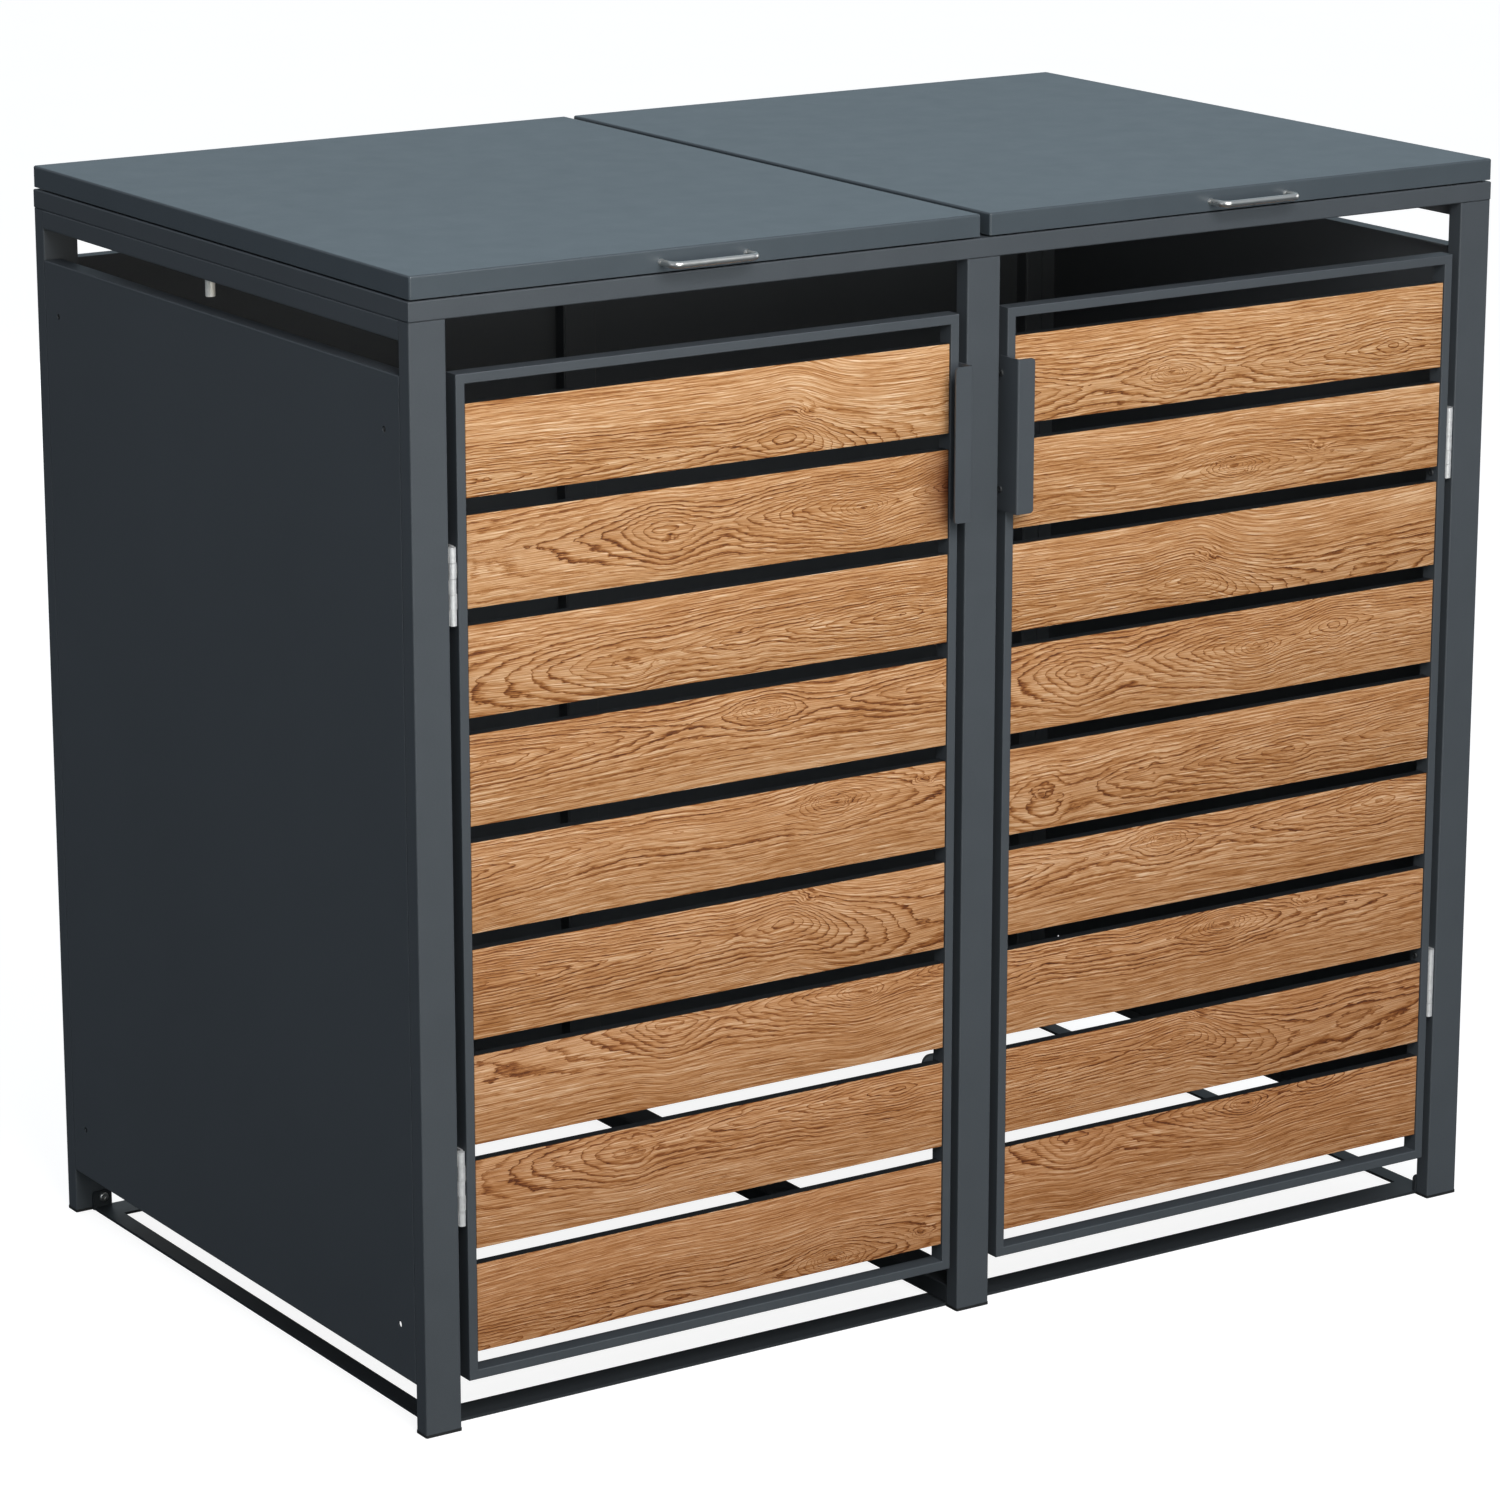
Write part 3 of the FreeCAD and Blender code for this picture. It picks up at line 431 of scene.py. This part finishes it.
# The figure of five boards, read along u in mm from the left end of the widest
# piece: the flames' middle line (u, depth below the board's top edge), the rings
# that its flames have climbed (u, rings), how blunt the tips are (u, mm), and
# knots (u, depth, half length, half height, rings).
FIGURES = {
    "a": dict(
        mid=[(0, 75), (290, 74), (340, 72), (380, 71), (430, 86), (480, 92), (560, 90), (700, 80)],
        climb=[(0, 0), (80, 1.6), (160, 3.6), (240, 5.0), (300, 6.2), (320, 5.6), (362, 3.0), (392, 4.2),
               (430, 7.0), (480, 9.4), (540, 12.0), (600, 13.2), (700, 15.0)],
        blunt=[(0, 3.0), (300, 2.6), (370, 6.0), (430, 14.0), (540, 16.0), (600, 6.0), (700, 3.0)],
        knots=[(392, 50, 16, 9, 3.0)],
    ),
    "b": dict(
        mid=[(0, 41), (180, 38), (226, 42), (300, 41), (400, 42), (460, 46), (560, 36), (700, 36)],
        climb=[(0, 8.0), (60, 7.2), (130, 5.6), (165, 4.0), (190, 2.4), (224, 0.0), (258, 2.0), (290, 3.6),
               (330, 1.6), (370, -1.0), (420, -4.4), (458, -6.6), (490, -4.6), (512, -4.2), (540, -6.4),
               (560, -7.6), (585, -5.6), (620, -4.0), (700, -2.6)],
        blunt=[(0, 2.6), (150, 4.0), (224, 3.0), (300, 2.4), (380, 4.0), (460, 6.0), (560, 5.0), (700, 3.0)],
        knots=[(228, 46, 10, 4, 1.6), (458, 47, 15, 5, -3.0)],
    ),
    "c": dict(
        mid=[(0, 53), (100, 55), (184, 58), (240, 55), (330, 53), (440, 54), (560, 54), (700, 52)],
        climb=[(0, 10.0), (60, 7.4), (120, 4.6), (184, 1.4), (214, 3.6), (250, 3.8), (320, 1.6), (336, 2.2),
               (400, 0.2), (460, -2.2), (505, -3.6), (545, -2.0), (600, -3.4), (700, -6.0)],
        blunt=[(0, 7.0), (100, 10.0), (184, 8.0), (230, 6.0), (270, 2.6), (400, 2.4), (505, 3.0), (700, 3.0)],
        knots=[(184, 58, 22, 8, 2.4), (308, 47, 9, 3, 1.4)],
    ),
    "d": dict(
        mid=[(0, 30), (80, 28), (200, 26), (340, 23), (440, 26), (560, 26), (640, 24), (700, 26)],
        climb=[(0, -5.0), (45, -4.0), (82, -2.6), (150, -1.2), (200, 0.6), (245, 1.6), (290, 1.0), (338, -1.0),
               (385, 0.8), (420, 1.4), (450, 0.6), (500, -1.0), (560, -2.6), (610, -5.0), (632, -6.0),
               (660, -4.4), (700, -4.0)],
        blunt=[(0, 4.0), (200, 2.6), (340, 5.0), (440, 3.0), (560, 3.0), (640, 3.0), (700, 3.0)],
        knots=[(338, 22, 18, 6, -5.5)],
    ),
    "e": dict(
        mid=[(0, 31), (100, 26), (190, 23), (300, 27), (420, 22), (520, 22), (600, 24), (700, 24)],
        climb=[(0, -4.0), (35, -3.0), (78, -1.8), (120, -0.4), (186, 1.2), (232, 0.4), (300, 0.6), (370, 0.2),
               (422, -2.6), (470, 0.2), (520, 1.6), (560, 2.8), (610, 4.0), (700, 5.6)],
        blunt=[(0, 3.0), (190, 2.4), (300, 5.0), (420, 6.0), (520, 5.0), (600, 3.0), (700, 3.0)],
        knots=[(421, 21, 20, 7, -5.0), (533, 15, 12, 5, 3.6)],
    ),
}
# The boards of each door from the top: figure, how far it sits above its usual
# place, in mm, and where along it the board was cut, in mm.
CUTS = {
    "left": [("a", 0, 0), ("b", 0, 0), ("c", 0, 0), ("d", 0, 0), ("e", 0, 0),
             ("a", 39, 0), ("b", 34, 0), ("c", 38, 0), ("e", -58, 0)],
    "right": [("d", -36, 137), ("e", -37, 137), ("a", 5, 137), ("b", 5, 137), ("c", 2, 137),
              ("d", 3, 137), ("e", 4, 137), ("a", 44, 137), ("b", 37, 137)],
}


def course(points, u):
    """A smooth line through a list of (u, value)."""
    n = len(points)
    i = 0
    while i < n - 2 and u > points[i + 1][0]:
        i += 1
    (x1, y1), (x2, y2) = points[i], points[i + 1]
    x0, y0 = points[max(i - 1, 0)]
    x3, y3 = points[min(i + 2, n - 1)]
    h = x2 - x1
    m1 = (y2 - y0) / (x2 - x0) * h
    m2 = (y3 - y1) / (x3 - x1) * h
    k = min(max((u - x1) / h, 0.0), 1.0)
    return ((2 * k ** 3 - 3 * k ** 2 + 1) * y1 + (k ** 3 - 2 * k ** 2 + k) * m1
            + (3 * k ** 2 - 2 * k ** 3) * y2 + (k ** 3 - k ** 2) * m2)


def board(name, lo, hi, cut, seed, low_shade, grip_shade=None):
    """One oak board with eased edges, as its own mesh, in the row frame."""
    me = bpy.data.meshes.new(name)
    bm = bmesh.new()
    bmesh.ops.create_cube(bm, size=1.0)
    size, mid = hi - lo, (hi + lo) / 2
    for v in bm.verts:
        v.co = Vector(v.co[i] * size[i] + mid[i] for i in range(3))
    front = [e for e in bm.edges if all(abs(v.co.y - lo.y) < 1e-7 for v in e.verts)]
    corner = [e for e in bm.edges if abs(e.verts[0].co.y - e.verts[1].co.y) > 1e-5]
    bmesh.ops.bevel(bm, geom=front + corner, offset=0.0006, segments=3, profile=0.5, affect="EDGES")
    # cut the board across, so that the figure and the painted shade beside the grip have points to follow
    for i in range(1, 72):
        bmesh.ops.bisect_plane(bm, geom=bm.verts[:] + bm.edges[:] + bm.faces[:],
                               plane_co=(lo.x + size.x * i / 72, 0, 0), plane_no=(1, 0, 0))
    for z in (0.2, 0.4, 0.6, 0.8) if grip_shade else ():
        bmesh.ops.bisect_plane(bm, geom=bm.verts[:] + bm.edges[:] + bm.faces[:],
                               plane_co=(0, 0, lo.z + (hi.z - lo.z) * z), plane_no=(0, 0, 1))
    bmesh.ops.recalc_face_normals(bm, faces=bm.faces[:])
    for f in bm.faces:
        f.smooth = True
    bm.to_mesh(me)
    bm.free()
    key, up, start = cut
    fig = FIGURES[key]
    rings = [course(fig["climb"], start + u) for u in range(0, 560, 20)]
    level = (max(rings) + min(rings)) / 2
    knots = [((u - start) * 0.001 + lo.x, (z - up) * 0.001, rx * 0.001, rz * 0.001, w)
             for u, z, rx, rz, w in fig["knots"]]
    knots = (knots + [(0, 0, 1, 1, 0)] * 2)[:2]
    names = ("grain", "figure", "knot_a", "knot_b", "painted_shade")
    for n in names:
        me.attributes.new(n, "FLOAT_VECTOR", "POINT")
    grain, figure, ka, kb, st = (me.attributes[n] for n in names)
    for i, v in enumerate(me.vertices):
        x, z = v.co.x, v.co.z
        deep = hi.z - z
        u = (x - lo.x) * 1000.0 + start
        middle = (course(fig["mid"], u) - up) * 0.001
        grain.data[i].vector = (x, middle - deep, seed)
        climb = course(fig["climb"], u)
        slope = (course(fig["climb"], u + 4.0) - course(fig["climb"], u - 4.0)) / 0.008
        figure.data[i].vector = (climb - level, course(fig["blunt"], u) * 0.001, slope)
        for a, (kx, kz, rx, rz, w) in zip((ka, kb), knots):
            a.data[i].vector = ((x - kx) / rx, (kz - deep) / rz, w)
        s = 0.0
        # painted shade beside the left door's grip: strongest at the board's right end and at mid-height, fading
        # out over 45 mm
        if grip_shade:
            along = max(0.0, 1.0 - (hi.x - x) / 0.045)
            mid_z = max(0.0, 1.0 - abs(deep - 0.036) / 0.052)
            s = along ** 1.3 * mid_z ** 0.5
        st.data[i].vector = (s, low_shade, 0.0)
    me.materials.append(M["slat_wood"])
    o = bpy.data.objects.new(name, me)
    bpy.context.scene.collection.objects.link(o)
    with bpy.context.temp_override(object=o, active_object=o, selected_objects=[o], selected_editable_objects=[o]):
        bpy.ops.object.shade_smooth_by_angle(angle=math.radians(35))
    return o


for side, rows in CUTS.items():
    node = f"door_{side}_slat_boards"
    lo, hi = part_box(node)
    for k, cut in enumerate(rows):
        top = TOP_0 - PITCH * k
        a = Vector((lo.x, lo.y, top - BOARD_H))
        b = Vector((hi.x, hi.y, top))
        seed = 1.0 + k * 0.37 + (0.0 if side == "left" else 5.0)
        # k / 8 sets how much painted shade darkens each board down the door
        o = board(f"door_{side}_board_{k + 1}", a, b, cut, seed, k / 8,
                  grip_shade=(side == "left" and k == 1))
        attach(o, f"door_{side}")
        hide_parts(node)

# ---------------------------------------------------------------- floor
def grid(columns, rows, point):
    """A sheet of quads whose corners are point(column, row)."""
    me = bpy.data.meshes.new("sheet")
    bm = bmesh.new()
    for u in range(columns + 1):
        for v in range(rows + 1):
            bm.verts.new(point(u, v))
    bm.verts.ensure_lookup_table()
    n = rows + 1
    for u in range(columns):
        for v in range(rows):
            bm.faces.new([bm.verts[i] for i in (u * n + v, (u + 1) * n + v, (u + 1) * n + v + 1, u * n + v + 1)])
    bm.to_mesh(me)
    bm.free()
    return me


def studio(name, me, rgb, glow):
    o = bpy.data.objects.new(name, me)
    bpy.context.scene.collection.objects.link(o)
    t = Tree(name)
    t.put(t.bsdf.inputs["Base Color"],
          t.ramp(t.noise(t.place(), 3.0, 3.0, 0.5), [(0.3, shade(rgb, 0.98)), (0.7, shade(rgb, 1.02))]))
    t.bsdf.inputs["Roughness"].default_value = 0.9
    t.bsdf.inputs["Specular IOR Level"].default_value = 0.1
    t.bsdf.inputs["Emission Color"].default_value = (1, 1, 1, 1)
    t.bsdf.inputs["Emission Strength"].default_value = glow
    me.materials.append(t.mat)
    return o


def flat(z):
    return grid(48, 48, lambda u, v: ((u - 24) * 1.0, (v - 24) * 1.0, z))


def round_wall(u, v):
    """A wall round the whole floor, which bends over to a ceiling."""
    a = 2.0 * math.pi * u / 96
    b = 0.5 * math.pi * v / 12
    return (23.0 * math.cos(a) * math.cos(b), 23.0 * math.sin(a) * math.cos(b), -0.0005 + 23.0 * math.sin(b))


# the pale floor and backdrop that are seen, and a dull floor under them that
# the object is lit by
floor = studio("floor", flat(-0.0005), (0.30, 0.30, 0.30), 0.88)
floor.visible_diffuse = floor.visible_glossy = floor.visible_transmission = False
backdrop = studio("backdrop", grid(96, 12, round_wall), (0.30, 0.30, 0.30), 0.93)
backdrop.visible_diffuse = backdrop.visible_glossy = backdrop.visible_transmission = False
backdrop.visible_shadow = False
bounce = studio("floor_bounce", flat(-0.003), (0.16, 0.17, 0.18), 0.0)
bounce.visible_camera = False

# ---------------------------------------------------------------- light
world = bpy.data.worlds.new("studio")
bpy.context.scene.world = world
world.use_nodes = True
bg = world.node_tree.nodes["Background"]
bg.inputs["Color"].default_value = (0.90, 1.0, 1.10, 1.0)
bg.inputs["Strength"].default_value = 0.365


def softbox(name, at, to, size, watts, colour=(1, 1, 1)):
    light = bpy.data.lights.new(name, "AREA")
    light.shape = "RECTANGLE"
    light.size, light.size_y = size
    light.energy = watts
    light.color = colour
    o = bpy.data.objects.new(name, light)
    bpy.context.scene.collection.objects.link(o)
    o.location = at
    o.rotation_euler = (Vector(to) - Vector(at)).to_track_quat("-Z", "Y").to_euler()
    o.visible_camera = False
    return o


softbox("key", (-0.6, -3.0, 2.7), (-0.1, -0.4, 0.6), (2.2, 1.6), 96.0)
softbox("front", (-1.2, -6.0, 1.3), (0.0, 0.0, 0.8), (3.0, 2.0), 85.0, (1.0, 1.0, 0.90))
softbox("side", (-4.5, -0.6, 1.4), (-0.6, 0.0, 0.6), (2.4, 2.0), 8.0)
softbox("back", (2.3, 3.8, 2.9), (0.0, 0.0, 1.1), (5.0, 2.6), 15.0, (0.66, 1.0, 1.16))
softbox("right", (4.5, -0.6, 1.5), (0.6, 0.0, 0.6), (2.4, 2.0), 26.0)
softbox("rear", (0.45, 5.0, 0.45), (0.2, 0.4, 0.55), (2.0, 0.8), 26.0)
# a slim light behind the front top rail, for the inside of the back
softbox("inner", (0.0, -0.36, 1.085), (0.0, 0.38, 0.80), (1.2, 0.03), 0.54, (1.12, 1.0, 0.90))

# ---------------------------------------------------------------- camera
AZ, EL = math.radians(-33.05), math.radians(15.031)
cam = bpy.data.cameras.new("camera")
cam.lens = 128.69
cam.sensor_width = 36.0
cam.clip_end = 100.0
camera = bpy.data.objects.new("camera", cam)
bpy.context.scene.collection.objects.link(camera)
forward = Vector((-math.sin(AZ) * math.cos(EL), math.cos(AZ) * math.cos(EL), -math.sin(EL)))
right = forward.cross(Vector((0, 0, 1))).normalized()
up = right.cross(forward)
turn = Matrix((right, up, -forward)).transposed().to_4x4()
camera.matrix_world = Matrix.Translation((-3.0821, -4.69855, 2.0282)) @ turn
bpy.context.scene.camera = camera

bpy.context.scene.view_settings.view_transform = "Standard"
bpy.context.scene.view_settings.look = "None"
